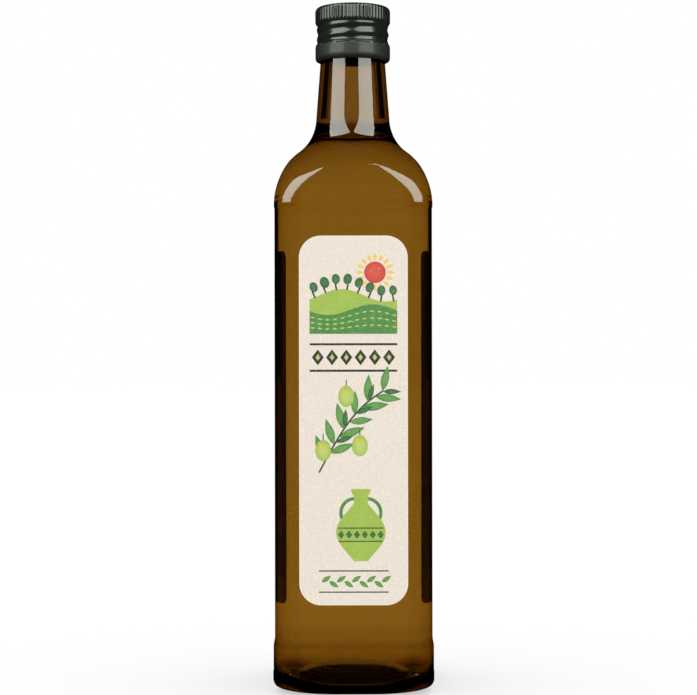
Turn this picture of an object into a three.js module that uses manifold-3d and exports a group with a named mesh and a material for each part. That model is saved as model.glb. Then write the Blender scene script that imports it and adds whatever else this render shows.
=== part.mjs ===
// Olive oil bottle: a square glass bottle with rounded corners and a round tapering neck, filled with
// oil to the foot of the neck, shut by a rolled-on aluminium screw cap, with a paper label on the front
// and one on the back. Millimetres, +Z up, origin at the centre of the foot, front label towards -Y.
import * as THREE from "three";
import { mergeVertices } from "three/addons/utils/BufferGeometryUtils.js";
import Module from "manifold-3d";

// Body: half widths across the flats, heights and corner radii
const PANEL_HALF = 33.15; // recessed panels that carry the labels
const HEEL_HALF = 33.75; // raised band above the foot
const SEAM_HALF = 33.9; // mould seam round the foot
const SHOULDER_HALF = 33.4; // edge above the panels
const CORNER_RADIUS = 9.5;
const PANEL_BOTTOM = 23.5;
const PANEL_TOP = 203.1;
const SHOULDER_START = 204.2;

// Foot: a flat bearing ring round a shallow domed punt
const BEARING_OUTER = 29.6;
const BEARING_INNER = 27.3;
const PUNT_DEPTH = 5.5;
const HEEL_HEIGHT = 6.0;
const FOOT_ROUNDNESS = 0.8; // corner radius as a share of the half width
const NECK_ROUNDNESS = 0.985;

// Shoulder: arcs up the wall, each turning on from the last to its lean in degrees off vertical.
// The first two bulge outwards and the third is hollow, ending on the straight taper of the neck.
const SHOULDER_ARCS = [
  { radius: 40.2, lean: 25.6 },
  { radius: 20.6, lean: 52.2 },
  { radius: -19.8, lean: 4.3 },
];
const ROUND_FROM = 205.5; // the section turns from square to round between these heights
const ROUND_TO = 236.0;

// Neck and finish under the cap
const NECK_TOP = 268.6;
const LOCK_RING_RADIUS = 15.3;
const FINISH_RADIUS = 14.45;
const FINISH_TOP = 289.5;
const MOUTH_RADIUS = 9.6;

// Glass thickness
const WALL = 3.2;
const NECK_WALL = 4.0;
const ROOT_EXTRA = 3.2; // more glass where the neck runs out into the shoulder
const ROOT_HEIGHT = 236.5;
const ROOT_SPAN = 3.8;
const BASE_DOME = 10.6; // height of the inside of the base at the centre
const BASE_VALLEY = 4.2; // and at its lowest, near the wall
const BASE_FULLNESS = 3.2; // how flat the dome is before it falls away
const VALLEY_HALF = 26.0;

// Oil
const OIL_LEVEL = 233.0;
const OIL_GAP = 0.3; // kept off the glass

// Cap
const CAP_TOP = 291.8;
const CAP_BOTTOM = 268.6;
const CAP_RADIUS = 16.0; // at the root of the knurl
const KNURL_HEIGHT = 0.25;
const KNURL_COUNT = 60;
const KNURL_BOTTOM = 285.2;
const KNURL_TOP = 290.7;
const THREAD_RADIUS = 15.35;
const THREAD_RELIEF = 0.2;
const THREAD_PITCH = 4.3;
const THREAD_START = 274.9; // height of the thread where it passes +X
const SKIRT_RADIUS = 16.2;
const SLIT_COUNT = 12;
const SLIT_HEIGHT = 275.1;

// Labels
const LABEL_WIDTH = 45.2;
const LABEL_BOTTOM = 37.7;
const LABEL_TOP = 191.3;
const LABEL_CORNER = 9.1;
const BACK_LABEL_WIDTH = 40.4;
const BACK_LABEL_CORNER = 3.0;
const BACK_LABEL_BOTTOM = 31.9;
const BACK_LABEL_TOP = 187.4;
const LABEL_THICKNESS = 0.15;

const CORNER_STEPS = 8;
const SHOULDER_STEPS = 5;
const CAP_STEPS = 48;

const lerp = (a, b, t) => a + (b - a) * t;
const smooth = (t) => {
  const c = Math.min(1, Math.max(0, t));
  return c * c * (3 - 2 * c);
};

// Points round a square with rounded corners: half width s, corner radius r, height z
function ring(s, r, z) {
  const points = [];
  for (let corner = 0; corner < 4; corner++) {
    const turn = (corner * Math.PI) / 2;
    const away = s - r;
    for (let i = 0; i <= CORNER_STEPS; i++) {
      const a = (i / CORNER_STEPS) * (Math.PI / 2);
      const x = away + r * Math.cos(a);
      const y = away + r * Math.sin(a);
      points.push([x * Math.cos(turn) - y * Math.sin(turn), x * Math.sin(turn) + y * Math.cos(turn), z]);
    }
  }
  return points;
}

// A closed solid through a row of rings, shut by a fan at each end
function loft(rings, startZ, endZ) {
  const count = rings[0].length;
  const positions = [];
  for (const points of rings) for (const p of points) positions.push(...p);
  const start = rings.length * count;
  positions.push(0, 0, startZ, 0, 0, endZ);
  const index = [];
  for (let k = 0; k < rings.length - 1; k++) {
    for (let i = 0; i < count; i++) {
      const j = (i + 1) % count;
      const a = k * count + i;
      const b = k * count + j;
      const c = (k + 1) * count + j;
      const d = (k + 1) * count + i;
      index.push(a, b, c, a, c, d);
    }
  }
  const last = (rings.length - 1) * count;
  for (let i = 0; i < count; i++) {
    const j = (i + 1) % count;
    index.push(start, j, i, start + 1, last + i, last + j);
  }
  const geometry = new THREE.BufferGeometry();
  geometry.setAttribute("position", new THREE.Float32BufferAttribute(positions, 3));
  geometry.setIndex(index);
  return geometry;
}

// Share of roundness of the section at a height in the shoulder or neck
function roundness(z, half) {
  return lerp(CORNER_RADIUS / half, NECK_ROUNDNESS, smooth((z - ROUND_FROM) / (ROUND_TO - ROUND_FROM)));
}

// Shoulder and neck as points with their outward directions, foot of the shoulder first
function upperWall() {
  const wall = [{ s: SHOULDER_HALF, z: SHOULDER_START, ns: 1, nz: 0 }];
  let lean = 0;
  for (const arc of SHOULDER_ARCS) {
    const { s, z } = wall[wall.length - 1];
    const from = THREE.MathUtils.degToRad(lean);
    const to = THREE.MathUtils.degToRad(arc.lean);
    for (let i = 1; i <= SHOULDER_STEPS; i++) {
      const a = lerp(from, to, i / SHOULDER_STEPS);
      wall.push({
        s: s + arc.radius * (Math.cos(a) - Math.cos(from)),
        z: z + arc.radius * (Math.sin(a) - Math.sin(from)),
        ns: Math.cos(a),
        nz: Math.sin(a),
      });
    }
    lean = arc.lean;
  }
  const foot = wall[wall.length - 1];
  for (const z of [lerp(foot.z, NECK_TOP, 0.5), NECK_TOP]) {
    wall.push({ ...foot, s: foot.s - ((z - foot.z) * foot.nz) / foot.ns, z });
  }
  return wall;
}

// Thickness of the glass at a height in the shoulder or neck
function thickness(z) {
  return lerp(WALL, NECK_WALL, smooth((z - 215) / 30)) + ROOT_EXTRA * Math.exp(-(((z - ROOT_HEIGHT) / ROOT_SPAN) ** 2));
}

// Inside of the glass from the base up to the neck, moved in by a gap, as rings
function insideRings(gap, level) {
  const rings = [];
  const half = PANEL_HALF - WALL - gap;
  for (let k = 1; k <= 5; k++) {
    const share = k / 5;
    const s = VALLEY_HALF * share;
    const z = BASE_VALLEY + (BASE_DOME - BASE_VALLEY) * (1 - share ** BASE_FULLNESS) + gap;
    rings.push([s, s * lerp(NECK_ROUNDNESS, FOOT_ROUNDNESS, share), z]);
  }
  const inner = CORNER_RADIUS - WALL + 0.6;
  for (let k = 1; k <= 6; k++) {
    const a = (k / 6) * (Math.PI / 2);
    const s = VALLEY_HALF + (half - VALLEY_HALF) * Math.sin(a);
    const z = BASE_VALLEY + gap + 7.4 * (1 - Math.cos(a));
    rings.push([s, lerp(VALLEY_HALF * FOOT_ROUNDNESS, inner, smooth(k / 6)), z]);
  }
  rings.push([half, inner, 110], [half, inner, SHOULDER_START - 1.5]);
  for (const { s, z, ns, nz } of upperWall()) {
    const depth = thickness(z) + gap;
    const at = z - depth * nz;
    if (at <= SHOULDER_START - 0.5) continue;
    const width = Math.min(half, s - depth * ns);
    rings.push([width, width * lerp(inner / half, NECK_ROUNDNESS, smooth((z - ROUND_FROM) / (ROUND_TO - ROUND_FROM))), at]);
  }
  if (level === undefined) return rings;
  const below = rings.filter(([, , z], i) => i < 14 || z < level - 0.4);
  const next = rings.find(([, , z], i) => i >= 14 && z >= level - 0.4);
  const top = below[below.length - 1];
  const t = (level - top[2]) / (next[2] - top[2]);
  return [...below, [lerp(top[0], next[0], t), lerp(top[1], next[1], t), level]];
}

function bottleGeometry() {
  const outer = [];
  for (let k = 1; k <= 5; k++) {
    const share = k / 5;
    const s = BEARING_INNER * share;
    outer.push([s, s * lerp(NECK_ROUNDNESS, FOOT_ROUNDNESS, share), PUNT_DEPTH * (1 - share * share)]);
  }
  outer.push([BEARING_OUTER, BEARING_OUTER * FOOT_ROUNDNESS, 0]);
  for (let k = 1; k <= 6; k++) {
    const a = (k / 6) * (Math.PI / 2);
    const s = BEARING_OUTER + (SEAM_HALF - BEARING_OUTER) * Math.sin(a);
    const square = smooth(k / 6) ** 0.6;
    outer.push([s, lerp(BEARING_OUTER * FOOT_ROUNDNESS, CORNER_RADIUS + 0.7, square), HEEL_HEIGHT * (1 - Math.cos(a))]);
  }
  outer.push([SEAM_HALF, CORNER_RADIUS + 0.7, 8.9], [HEEL_HALF, CORNER_RADIUS + 0.6, 9.2]);
  for (const share of [0, 0.3, 0.7, 1]) {
    const e = smooth(share);
    outer.push([lerp(HEEL_HALF, PANEL_HALF, e), lerp(CORNER_RADIUS + 0.6, CORNER_RADIUS, e), lerp(19, PANEL_BOTTOM, share)]);
  }
  outer.push([PANEL_HALF, CORNER_RADIUS, 110], [PANEL_HALF, CORNER_RADIUS, PANEL_TOP]);
  const wall = upperWall();
  for (const { s, z } of wall) outer.push([s, s * roundness(z, SHOULDER_HALF), z]);
  const finish = [
    [wall[wall.length - 1].s, 270.6], [LOCK_RING_RADIUS, 271.5], [LOCK_RING_RADIUS, 273.6], [FINISH_RADIUS, 275],
    [FINISH_RADIUS, FINISH_TOP - 1], [FINISH_RADIUS - 1, FINISH_TOP], [MOUTH_RADIUS + 0.8, FINISH_TOP],
    [MOUTH_RADIUS, FINISH_TOP - 0.8],
  ];
  for (const [s, z] of finish) outer.push([s, s * NECK_ROUNDNESS, z]);
  const inside = insideRings(0).reverse();
  const rings = [...outer, ...inside].map(([s, r, z]) => ring(s, r, z));
  return loft(rings, PUNT_DEPTH, BASE_DOME);
}

function oilGeometry() {
  const rings = insideRings(OIL_GAP, OIL_LEVEL).map(([s, r, z]) => ring(s, r, z));
  return loft(rings, BASE_DOME + OIL_GAP, OIL_LEVEL);
}

// Outside of the cap, rim first: radius, height and how much of the rolled thread shows there
function capOutside() {
  const rows = [
    [14.3, CAP_BOTTOM, 0], [15.2, 268.68, 0], [15.75, 268.98, 0], [16.08, 269.55, 0], [SKIRT_RADIUS, 270.4, 0],
    [SKIRT_RADIUS, 274.3, 0], [16.05, 275.3, 0], [THREAD_RADIUS, 276.5, 0.3],
  ];
  for (let k = 1; k <= 10; k++) rows.push([THREAD_RADIUS, 276.5 + 0.75 * k, k > 9 ? 0.4 : 1]);
  rows.push([15.55, 284.7, 0], [CAP_RADIUS, KNURL_BOTTOM - 0.15, 0], [CAP_RADIUS, KNURL_TOP + 0.2, 0]);
  rows.push([15.75, 291.35, 0], [15.25, 291.68, 0], [14.5, CAP_TOP, 0]);
  return rows;
}

function capGeometry(wasm) {
  const inside = [
    [13, 290.1], [14.85, 289.6], [14.85, 276.2], [15.7, 274.8], [15.7, 270.3], [15.3, 269.5], [14.3, 269.1],
  ];
  const circle = (radius, z, relief) => {
    const points = [];
    for (let i = 0; i < CAP_STEPS; i++) {
      const a = (i / CAP_STEPS) * Math.PI * 2;
      const wave = Math.sin(2 * Math.PI * ((z - THREAD_START) / THREAD_PITCH - i / CAP_STEPS));
      const r = radius + relief * THREAD_RELIEF * wave;
      points.push([r * Math.cos(a), r * Math.sin(a), z]);
    }
    return points;
  };
  const rings = [...inside.map(([r, z]) => circle(r, z, 0)), ...capOutside().map(([r, z, t]) => circle(r, z, t))];
  const shell = toSolid(wasm, loft(rings, 290.1, CAP_TOP));
  const ridges = [];
  const height = KNURL_TOP - KNURL_BOTTOM;
  const shape = new THREE.Shape([
    new THREE.Vector2(CAP_RADIUS - 0.3, -0.5), new THREE.Vector2(CAP_RADIUS, -0.42),
    new THREE.Vector2(CAP_RADIUS + KNURL_HEIGHT, -0.17), new THREE.Vector2(CAP_RADIUS + KNURL_HEIGHT, 0.17),
    new THREE.Vector2(CAP_RADIUS, 0.42), new THREE.Vector2(CAP_RADIUS - 0.3, 0.5),
  ]);
  const ridge = new THREE.ExtrudeGeometry(shape, { depth: height, bevelEnabled: false });
  ridge.translate(0, 0, KNURL_BOTTOM);
  for (let i = 0; i < KNURL_COUNT; i++) {
    const turned = ridge.clone();
    turned.rotateZ(((i + 0.5) / KNURL_COUNT) * Math.PI * 2);
    ridges.push(toSolid(wasm, turned));
  }
  const slits = [];
  const slit = new THREE.BoxGeometry(0.9, 5.6, 0.35);
  slit.translate(SKIRT_RADIUS + 0.1, 0, SLIT_HEIGHT);
  for (let i = 0; i < SLIT_COUNT; i++) {
    const turned = slit.clone();
    turned.rotateZ(((i + 0.25) / SLIT_COUNT) * Math.PI * 2);
    slits.push(toSolid(wasm, turned));
  }
  const { Manifold } = wasm;
  const joined = Manifold.union([shell, ...ridges]);
  return fromSolid(Manifold.difference([joined, ...slits]));
}

function toSolid(wasm, geometry) {
  const bare = new THREE.BufferGeometry();
  bare.setAttribute("position", geometry.getAttribute("position").clone());
  if (geometry.index) bare.setIndex(geometry.index.clone());
  const merged = mergeVertices(bare, 1e-4);
  const mesh = new wasm.Mesh({
    numProp: 3,
    vertProperties: Float32Array.from(merged.getAttribute("position").array),
    triVerts: Uint32Array.from(merged.index.array),
  });
  return new wasm.Manifold(mesh);
}

function fromSolid(solid) {
  const mesh = solid.getMesh();
  const geometry = new THREE.BufferGeometry();
  geometry.setAttribute("position", new THREE.Float32BufferAttribute(mesh.vertProperties, 3));
  geometry.setIndex(Array.from(mesh.triVerts));
  return geometry;
}

// A label with rounded corners laid on the panel that faces along side (-1 front, +1 back)
function labelGeometry(bottom, top, width, r, side) {
  const w = width / 2;
  const h = (top - bottom) / 2;
  const shape = new THREE.Shape();
  shape.moveTo(w, -h + r);
  shape.lineTo(w, h - r);
  shape.absarc(w - r, h - r, r, 0, Math.PI / 2, false);
  shape.lineTo(-w + r, h);
  shape.absarc(-w + r, h - r, r, Math.PI / 2, Math.PI, false);
  shape.lineTo(-w, -h + r);
  shape.absarc(-w + r, -h + r, r, Math.PI, 1.5 * Math.PI, false);
  shape.lineTo(w - r, -h);
  shape.absarc(w - r, -h + r, r, 1.5 * Math.PI, 2 * Math.PI, false);
  const geometry = new THREE.ExtrudeGeometry(shape, { depth: LABEL_THICKNESS, bevelEnabled: false, curveSegments: 8 });
  geometry.rotateX(Math.PI / 2);
  if (side > 0) geometry.rotateZ(Math.PI);
  geometry.translate(0, side * PANEL_HALF, (bottom + top) / 2);
  return geometry;
}

const wasm = await Module();
wasm.setup();

const finishes = {
  glass: new THREE.MeshStandardMaterial({ name: "glass", color: 0x5c450c, roughness: 0.05, transparent: true, opacity: 0.5 }),
  oil: new THREE.MeshStandardMaterial({ name: "oil", color: 0x8a6414, roughness: 0.1 }),
  metal: new THREE.MeshStandardMaterial({ name: "metal", color: 0x27342a, roughness: 0.35, metalness: 0.8 }),
  paper: new THREE.MeshStandardMaterial({ name: "paper", color: 0xe9dfcf, roughness: 0.8 }),
};

const bottle = new THREE.Group();
const pieces = [
  ["glass_bottle", bottleGeometry(), finishes.glass],
  ["olive_oil", oilGeometry(), finishes.oil],
  ["screw_cap", capGeometry(wasm), finishes.metal],
  ["front_label", labelGeometry(LABEL_BOTTOM, LABEL_TOP, LABEL_WIDTH, LABEL_CORNER, -1), finishes.paper],
  [
    "back_label",
    labelGeometry(BACK_LABEL_BOTTOM, BACK_LABEL_TOP, BACK_LABEL_WIDTH, BACK_LABEL_CORNER, 1),
    finishes.paper,
  ],
];
for (const [name, geometry, material] of pieces) {
  const mesh = new THREE.Mesh(geometry, material);
  mesh.name = name;
  bottle.add(mesh);
}

export default bottle;
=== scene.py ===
"""Looks of the olive oil bottle: glass, oil, screw cap, two labels, and the studio round them.

Sizes are millimetres in the classes and metres in the meshes. +Z is up and the front label faces -Y.
"""

import logging
import math
from dataclasses import dataclass, field
from enum import Enum

import bpy
import bmesh
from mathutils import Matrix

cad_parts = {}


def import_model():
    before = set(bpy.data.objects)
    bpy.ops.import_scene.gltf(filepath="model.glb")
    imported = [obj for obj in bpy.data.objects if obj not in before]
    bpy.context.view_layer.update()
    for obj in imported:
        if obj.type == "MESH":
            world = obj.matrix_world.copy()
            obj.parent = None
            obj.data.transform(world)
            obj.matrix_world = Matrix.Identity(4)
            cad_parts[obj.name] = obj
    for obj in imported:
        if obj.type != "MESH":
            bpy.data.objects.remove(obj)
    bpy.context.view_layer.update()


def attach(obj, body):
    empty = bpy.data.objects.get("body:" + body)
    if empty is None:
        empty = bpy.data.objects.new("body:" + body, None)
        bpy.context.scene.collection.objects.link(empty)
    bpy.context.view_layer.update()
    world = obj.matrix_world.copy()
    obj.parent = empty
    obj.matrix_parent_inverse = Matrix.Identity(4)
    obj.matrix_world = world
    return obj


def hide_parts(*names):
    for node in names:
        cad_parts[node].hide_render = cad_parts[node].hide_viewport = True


LOG = logging.getLogger("olive_oil_bottle")
MM = 0.001
BODY = "root"
HILL_WAVE = 0.17

Socket = bpy.types.NodeSocket
Triple = tuple[float, float, float]
Ring = Triple
Point = tuple[float, float]
Colour = tuple[float, float, float, float]


def lerp(a: float, b: float, t: float) -> float:
    """Value a share t of the way from a to b."""
    return a + (b - a) * t


def smooth(t: float) -> float:
    """Share t eased at both ends and kept between 0 and 1."""
    c = min(1.0, max(0.0, t))
    return c * c * (3 - 2 * c)


def spread(first: float, last: float, steps: int) -> list[float]:
    """Evenly spaced values from first to last."""
    return [lerp(first, last, i / steps) for i in range(steps + 1)]


def srgb(red: int, green: int, blue: int) -> Colour:
    """Linear colour of a screen colour from 0 to 255."""
    linear = [c / 255 / 12.92 if c <= 10 else ((c / 255 + 0.055) / 1.055) ** 2.4 for c in (red, green, blue)]
    return (linear[0], linear[1], linear[2], 1.0)


class Piece(Enum):
    """Names of the shown pieces."""

    GLASS = "bottle_glass"
    OIL = "bottle_oil"
    CAP = "cap_shell"
    FRONT = "front_paper"
    BACK = "back_paper"


class Slot(Enum):
    """Material slots of the record."""

    GLASS = "glass"
    OIL = "oil"
    METAL = "cap_metal"
    PAPER = "label_paper"


class Tree:
    """A geometry node tree that is built by short calls."""

    def __init__(self, name: str) -> None:
        """Starts an empty tree with a mesh output.

        Args:
            name: name of the tree.
        """
        self.group = bpy.data.node_groups.new(name, "GeometryNodeTree")
        self.group.interface.new_socket("Geometry", in_out="INPUT", socket_type="NodeSocketGeometry")
        self.group.interface.new_socket("Geometry", in_out="OUTPUT", socket_type="NodeSocketGeometry")
        self.source = self.group.nodes.new("NodeGroupInput")
        self.sink = self.group.nodes.new("NodeGroupOutput")

    def input(self, name: str, kind: str, default: float | int | bool | None = None) -> Socket:
        """Adds a named input.

        Args:
            name: label of the input.
            kind: socket type without its NodeSocket prefix.
            default: value where the modifier sets none.

        Returns:
            The socket inside the tree.
        """
        item = self.group.interface.new_socket(name, in_out="INPUT", socket_type="NodeSocket" + kind)
        if default is not None:
            item.default_value = default
        return self.source.outputs[name]

    def add(self, kind: str, inputs: dict | None = None, **settings: object) -> bpy.types.Node:
        """Adds a node.

        Args:
            kind: node type.
            inputs: socket name or index to a value or a socket to link.
            settings: properties of the node.

        Returns:
            The node.
        """
        node = self.group.nodes.new(kind)
        for key, value in settings.items():
            setattr(node, key, value)
        for key, value in (inputs or {}).items():
            self.feed(node.inputs[key], value)
        return node

    def feed(self, socket: Socket, value: object) -> None:
        """Links a socket to another, or sets its value.

        Args:
            socket: the socket that is fed.
            value: a number, a colour or the socket to link.
        """
        if isinstance(value, Socket):
            self.group.links.new(value, socket)
        else:
            socket.default_value = value

    def math(self, operation: str, *values: object) -> Socket:
        """Adds a Math node.

        Args:
            operation: what it works out.
            values: its operands, as numbers or sockets.

        Returns:
            The result.
        """
        node = self.group.nodes.new("ShaderNodeMath")
        node.operation = operation
        for socket, value in zip(node.inputs, values):
            self.feed(socket, value)
        return node.outputs[0]

    def window(self, value: object, low: object, high: object, soft: float) -> Socket:
        """Gives 1 where a value lies between two limits, with soft edges inside them.

        Args:
            value: what is tested.
            low: lower limit.
            high: upper limit.
            soft: width of each edge.

        Returns:
            The share from 0 to 1.
        """
        over = self.math("DIVIDE", self.math("SUBTRACT", value, low), soft)
        under = self.math("DIVIDE", self.math("SUBTRACT", high, value), soft)
        rise = self.math("SMOOTH_MIN", over, 1.0, 0.3)
        fall = self.math("SMOOTH_MIN", under, 1.0, 0.3)
        return self.math("MAXIMUM", self.math("MINIMUM", rise, fall), 0.0)

    def close(self, geometry: Socket, material: Socket) -> bpy.types.NodeTree:
        """Ends the tree in real geometry with its material.

        Args:
            geometry: what the tree has made.
            material: the material's socket.

        Returns:
            The finished tree.
        """
        real = self.add("GeometryNodeRealizeInstances", {"Geometry": geometry})
        dressed = self.add("GeometryNodeSetMaterial", {"Geometry": real.outputs[0], "Material": material})
        self.group.links.new(dressed.outputs[0], self.sink.inputs[0])
        return self.group


def points_object(name: str, points: list[Ring]) -> bpy.types.Object:
    """Makes a bare row of points for a tree to read.

    Args:
        name: name of the object.
        points: places of the points.

    Returns:
        The object, outside the scene.
    """
    mesh = bpy.data.meshes.new(name)
    mesh.from_pydata(points, [], [])
    return bpy.data.objects.new(name, mesh)


def grow(
    name: str, host: bpy.types.Object, tree: bpy.types.NodeTree, values: dict[str, object]
) -> bpy.types.Object:
    """Runs a tree on a host and keeps the result as a plain mesh.

    Args:
        name: name of the finished piece.
        host: object that the tree starts from, removed afterwards.
        tree: the node tree.
        values: input name to value.

    Returns:
        The finished piece, in the scene.
    """
    modifier = host.modifiers.new(tree.name, "NODES")
    modifier.node_group = tree
    for item in tree.interface.items_tree:
        if item.in_out == "INPUT" and item.name in values:
            modifier[item.identifier] = values[item.name]
    bpy.context.scene.collection.objects.link(host)
    graph = bpy.context.evaluated_depsgraph_get()
    mesh = bpy.data.meshes.new_from_object(host.evaluated_get(graph), depsgraph=graph)
    host.modifiers.remove(modifier)
    bpy.data.objects.remove(host)
    mesh.name = name
    piece = bpy.data.objects.new(name, mesh)
    bpy.context.scene.collection.objects.link(piece)
    return piece


def settle(piece: bpy.types.Object, node: str | None = None) -> bpy.types.Object:
    """Makes a finished piece part of the bottle.

    Args:
        piece: the piece.
        node: CAD node that it stands for, where there is one.

    Returns:
        The same piece.
    """
    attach(piece, BODY)
    if node:
        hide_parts(node)
    LOG.info("%s: %d faces", piece.name, len(piece.data.polygons))
    return piece


class SweptWall:
    """Tree that sweeps a rounded square up a profile, with rolled thread, knurl and slits pressed in."""

    def __init__(self) -> None:
        """Builds the tree."""
        tree = Tree("swept_wall")
        profile = tree.input("Profile", "Object")
        section = tree.input("Section", "Object")
        relief = {
            name: tree.input(name, "Float", default)
            for name, default in (
                ("Thread height", 0.0),
                ("Thread pitch", 1.0),
                ("Thread start", 0.0),
                ("Thread bottom", 0.0),
                ("Thread top", 0.0),
                ("Knurl height", 0.0),
                ("Knurl count", 1.0),
                ("Knurl bottom", 0.0),
                ("Knurl top", 0.0),
                ("Slit depth", 0.0),
                ("Slit count", 1.0),
                ("Slit level", 0.0),
            )
        }
        material = tree.input("Material", "Material")
        rows = tree.add("GeometryNodeObjectInfo", {"Object": profile}).outputs["Geometry"]
        columns = tree.add("GeometryNodeObjectInfo", {"Object": section}).outputs["Geometry"]
        row_count = self.count(tree, rows)
        column_count = self.count(tree, columns)
        grid = tree.add("GeometryNodeMeshGrid", {"Vertices X": column_count, "Vertices Y": row_count})
        index = tree.add("GeometryNodeInputIndex").outputs[0]
        row = tree.math("FLOORED_MODULO", index, row_count)
        column = tree.math("FLOOR", tree.math("DIVIDE", index, row_count))
        size = self.read(tree, rows, row)
        place = self.read(tree, columns, column)
        angle = tree.math("MULTIPLY", place[0], math.pi / 2)
        away = tree.math("SUBTRACT", size[0], size[1])
        along = tree.math("MULTIPLY", tree.math("MULTIPLY", away, place[1]), -2.0)
        across = tree.math("MULTIPLY", size[1], tree.math("COSINE", angle))
        x = tree.math("ADD", tree.math("ADD", away, across), along)
        y = tree.math("ADD", away, tree.math("MULTIPLY", size[1], tree.math("SINE", angle)))
        flat = tree.add("ShaderNodeCombineXYZ", {0: x, 1: y}).outputs[0]
        turn = tree.math("MULTIPLY", place[2], math.pi / 2)
        inputs = {"Vector": flat, "Angle": turn}
        turned = tree.add("ShaderNodeVectorRotate", inputs, rotation_type="Z_AXIS").outputs[0]
        push = self.relief(tree, turned, size[2], relief)
        radius = tree.add("ShaderNodeVectorMath", {0: turned}, operation="LENGTH").outputs["Value"]
        share = tree.math("ADD", 1.0, tree.math("DIVIDE", push, tree.math("MAXIMUM", radius, 0.001)))
        scaled = tree.add("ShaderNodeVectorMath", {0: turned, "Scale": share}, operation="SCALE").outputs[0]
        height = tree.add("ShaderNodeCombineXYZ", {2: size[2]}).outputs[0]
        spot = tree.add("ShaderNodeVectorMath", {0: scaled, 1: height}, operation="ADD").outputs[0]
        metres = tree.add("ShaderNodeVectorMath", {0: spot, "Scale": MM}, operation="SCALE").outputs[0]
        moved = tree.add("GeometryNodeSetPosition", {"Geometry": grid.outputs["Mesh"], "Position": metres})
        merged = tree.add("GeometryNodeMergeByDistance", {"Geometry": moved.outputs[0], "Distance": 1e-6})
        shaded = tree.add("GeometryNodeSetShadeSmooth", {"Geometry": merged.outputs[0]})
        self.tree = tree.close(shaded.outputs[0], material)

    @staticmethod
    def count(tree: Tree, geometry: Socket) -> Socket:
        """Counts the points of a row."""
        return tree.add("GeometryNodeAttributeDomainSize", {"Geometry": geometry}).outputs["Point Count"]

    @staticmethod
    def read(tree: Tree, geometry: Socket, index: Socket) -> list[Socket]:
        """Reads one point of a row.

        Args:
            tree: the tree under way.
            geometry: the row of points.
            index: number of the point.

        Returns:
            Its three coordinates.
        """
        position = tree.add("GeometryNodeInputPosition").outputs[0]
        sample = tree.add("GeometryNodeSampleIndex", data_type="FLOAT_VECTOR", domain="POINT")
        tree.feed(sample.inputs["Geometry"], geometry)
        tree.feed(next(s for s in sample.inputs if s.name == "Value" and s.enabled), position)
        tree.feed(sample.inputs["Index"], index)
        value = next(s for s in sample.outputs if s.enabled)
        return list(tree.add("ShaderNodeSeparateXYZ", {0: value}).outputs)

    @staticmethod
    def relief(tree: Tree, spot: Socket, height: Socket, sizes: dict[str, Socket]) -> Socket:
        """Works out how far the wall is pressed out or in.

        Args:
            tree: the tree under way.
            spot: place round the axis.
            height: height of the place.
            sizes: inputs of the thread, knurl and slits.

        Returns:
            The push away from the axis.
        """
        axes = tree.add("ShaderNodeSeparateXYZ", {0: spot}).outputs
        angle = tree.math("ARCTAN2", axes[1], axes[0])
        turns = tree.math("DIVIDE", angle, 2 * math.pi)
        rise = tree.math("SUBTRACT", height, sizes["Thread start"])
        climb = tree.math("DIVIDE", rise, sizes["Thread pitch"])
        wave = tree.math("SINE", tree.math("MULTIPLY", tree.math("SUBTRACT", climb, turns), 2 * math.pi))
        inside = tree.window(height, sizes["Thread bottom"], sizes["Thread top"], 1.2)
        thread = tree.math("MULTIPLY", tree.math("MULTIPLY", wave, sizes["Thread height"]), inside)
        crest = tree.math("COSINE", tree.math("MULTIPLY", angle, sizes["Knurl count"]))
        ridge = tree.math("POWER", tree.math("MULTIPLY_ADD", crest, 0.5, 0.5), 0.8)
        band = tree.window(height, sizes["Knurl bottom"], sizes["Knurl top"], 0.5)
        knurl = tree.math("MULTIPLY", tree.math("MULTIPLY", ridge, sizes["Knurl height"]), band)
        part = tree.math("FRACT", tree.math("MULTIPLY", turns, sizes["Slit count"]))
        cut = tree.window(part, 0.1, 0.9, 0.02)
        half_slit = 0.28
        low = tree.math("SUBTRACT", sizes["Slit level"], half_slit)
        high = tree.math("ADD", sizes["Slit level"], half_slit)
        level = tree.window(height, low, high, 0.12)
        slit = tree.math("MULTIPLY", tree.math("MULTIPLY", cut, level), sizes["Slit depth"])
        return tree.math("SUBTRACT", tree.math("ADD", thread, knurl), slit)

    def sweep(
        self,
        name: str,
        profile: list[Ring],
        section: list[Ring],
        material: bpy.types.Material,
        **relief: float,
    ) -> bpy.types.Object:
        """Sweeps a wall.

        Args:
            name: name of the piece.
            profile: half width, corner radius and height of each ring.
            section: share of the corner, share of the flat and quarter of each column.
            material: finish of the wall.
            relief: sizes of the thread, knurl and slits, with underscores for spaces.

        Returns:
            The wall as a plain mesh.
        """
        rows = points_object(name + "_profile", profile)
        columns = points_object(name + "_section", section)
        host = points_object(name + "_host", [])
        values: dict[str, object] = {"Profile": rows, "Section": columns, "Material": material}
        for key, value in relief.items():
            values[key.replace("_", " ").capitalize()] = value
        piece = grow(name, host, self.tree, values)
        for helper in (rows, columns):
            bpy.data.objects.remove(helper)
        return face_outwards(piece)


def face_outwards(piece: bpy.types.Object) -> bpy.types.Object:
    """Turns a closed mesh so that its faces point outwards.

    Args:
        piece: the piece.

    Returns:
        The same piece.
    """
    mesh = bmesh.new()
    mesh.from_mesh(piece.data)
    if mesh.calc_volume(signed=True) < 0:
        bmesh.ops.reverse_faces(mesh, faces=mesh.faces)
        mesh.to_mesh(piece.data)
    mesh.free()
    return piece


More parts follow.
